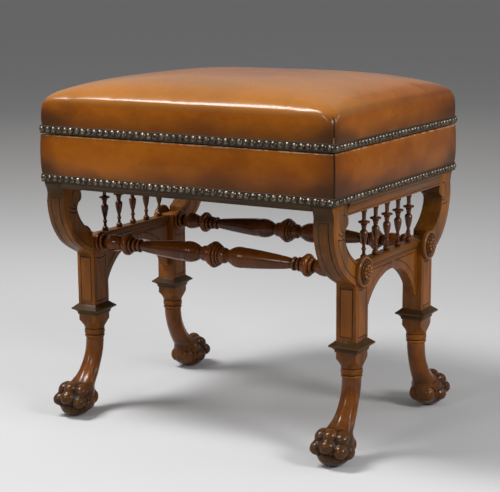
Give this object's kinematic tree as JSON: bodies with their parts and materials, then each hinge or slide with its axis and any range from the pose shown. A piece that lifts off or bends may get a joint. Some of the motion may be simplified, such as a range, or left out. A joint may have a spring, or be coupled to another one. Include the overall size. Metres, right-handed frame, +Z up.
{
  "type": "revolving piano stool",
  "caption": "Oblong leather piano stool whose close-nailed seat turns and rises on a screw in a box, on open end frames with C-scrolls, spindles, turned stretchers and carved paw feet.",
  "frame": {"origin": "on the floor under the middle of the seat", "axes": "+Z up, +X along the long side of the seat towards its right end, +Y towards the back"},
  "size_m": [0.5264, 0.4272, 0.545],
  "materials": {
    "seat_leather": null,
    "leather": "polished tan leather, antiqued darker towards the nails",
    "edge_strip": "dark olive brown strip, dull",
    "nail_heads": "antiqued domed nail heads",
    "walnut": "french polished walnut",
    "carved_walnut": "turned and carved walnut, glossy, darker in the hollows",
    "carcase_wood": "bare planed softwood",
    "black_iron": "black cast iron",
    "steel": "plain turned steel, oiled"
  },
  "bodies": {
    "base": {"box_leather": "leather", "box_nail_band": "edge_strip", "box_nails": "nail_heads", "nut_plate": "black_iron", "bearer_board": "carcase_wood", "front_cleat": "carcase_wood", "back_cleat": "carcase_wood", "front_rail": "carcase_wood", "back_rail": "carcase_wood", "left_rail": "carcase_wood", "right_rail": "carcase_wood", "front_moulding": "walnut", "back_moulding": "walnut", "front_left_corner_block": "carcase_wood", "back_left_corner_block": "carcase_wood", "front_right_corner_block": "carcase_wood", "back_right_corner_block": "carcase_wood", "left_top_rail": "walnut", "left_lower_rail": "walnut", "left_arch_board": "walnut", "left_spindle_1": "walnut", "left_spindle_2": "walnut", "left_spindle_3": "walnut", "left_spindle_4": "walnut", "left_spindle_5": "walnut", "front_left_scroll": "walnut", "front_left_leg": "carved_walnut", "front_left_collar": "walnut", "front_left_roundel": "walnut", "back_left_scroll": "walnut", "back_left_leg": "carved_walnut", "back_left_collar": "walnut", "back_left_roundel": "walnut", "right_top_rail": "walnut", "right_lower_rail": "walnut", "right_arch_board": "walnut", "right_spindle_1": "walnut", "right_spindle_2": "walnut", "right_spindle_3": "walnut", "right_spindle_4": "walnut", "right_spindle_5": "walnut", "front_right_scroll": "walnut", "front_right_leg": "carved_walnut", "front_right_collar": "walnut", "front_right_roundel": "walnut", "back_right_scroll": "walnut", "back_right_leg": "carved_walnut", "back_right_collar": "walnut", "back_right_roundel": "walnut", "front_stretcher": "carved_walnut", "back_stretcher": "carved_walnut"},
    "stop_washer": {"stop_washer": "steel"},
    "seat": {"seat_cushion": "seat_leather", "seat_board": "carcase_wood", "seat_nail_band": "edge_strip", "seat_nails": "nail_heads", "seat_plate": "black_iron", "lifting_screw": "steel", "stop_pin": "steel"}
  },
  "joints": [
    {"name": "seat_rise", "type": "slide", "parent": "base", "child": "stop_washer", "axis": [0, 0, 1], "range_m": [0, 0.048]},
    {"name": "seat_turn", "type": "hinge", "parent": "stop_washer", "child": "seat", "pos_m": [0, 0, 0.4], "axis": [0, 0, 1], "range_deg": [0, 1440]}
  ],
  "couplings": [
    {"joint": "seat_rise", "follows": "seat_turn", "m_per_rad": 0.0019099}
  ]
}
